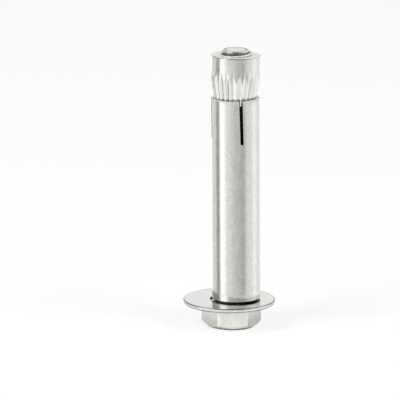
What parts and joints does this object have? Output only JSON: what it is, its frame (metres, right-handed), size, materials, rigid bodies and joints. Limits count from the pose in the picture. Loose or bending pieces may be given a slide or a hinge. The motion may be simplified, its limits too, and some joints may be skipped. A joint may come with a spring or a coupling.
{
  "type": "sleeve anchor",
  "caption": "Stainless steel sleeve anchor: hex head bolt with a flat washer, a slotted expansion sleeve and a serrated cone nut on its thread, standing on its head",
  "frame": {"origin": "centre of the bolt head's end face, on which the anchor stands", "axes": "+Z runs along the bolt from the head to the tip, -Y faces the picture's viewer, +X is the picture's right"},
  "size_m": [0.0226, 0.0226, 0.0691],
  "materials": {
    "bolt_steel": "satin, cold forged and rolled",
    "washer_steel": "satin, stamped",
    "sleeve_steel": "bright, drawn tube",
    "nut_steel": "bright, turned and knurled"
  },
  "bodies": {
    "bolt": {"hex_bolt": "bolt_steel"},
    "washer": {"flat_washer": "washer_steel"},
    "sleeve": {"expansion_sleeve": "sleeve_steel"},
    "nut": {"cone_nut": "nut_steel"}
  },
  "joints": [
    {"name": "washer_spin", "type": "hinge", "parent": "bolt", "child": "washer", "pos_m": [0, 0, 0.0056], "axis": [0, 0, 1], "continuous": true},
    {"name": "sleeve_turn", "type": "hinge", "parent": "bolt", "child": "sleeve", "pos_m": [0, 0, 0.007], "axis": [0, 0, 1], "range_deg": [0, 3600]},
    {"name": "nut_travel", "type": "slide", "parent": "sleeve", "child": "nut", "axis": [0, 0, 1], "range_m": [0, 0.0125]}
  ],
  "couplings": [
    {"joint": "nut_travel", "follows": "sleeve_turn", "m_per_rad": 0.00019894}
  ]
}
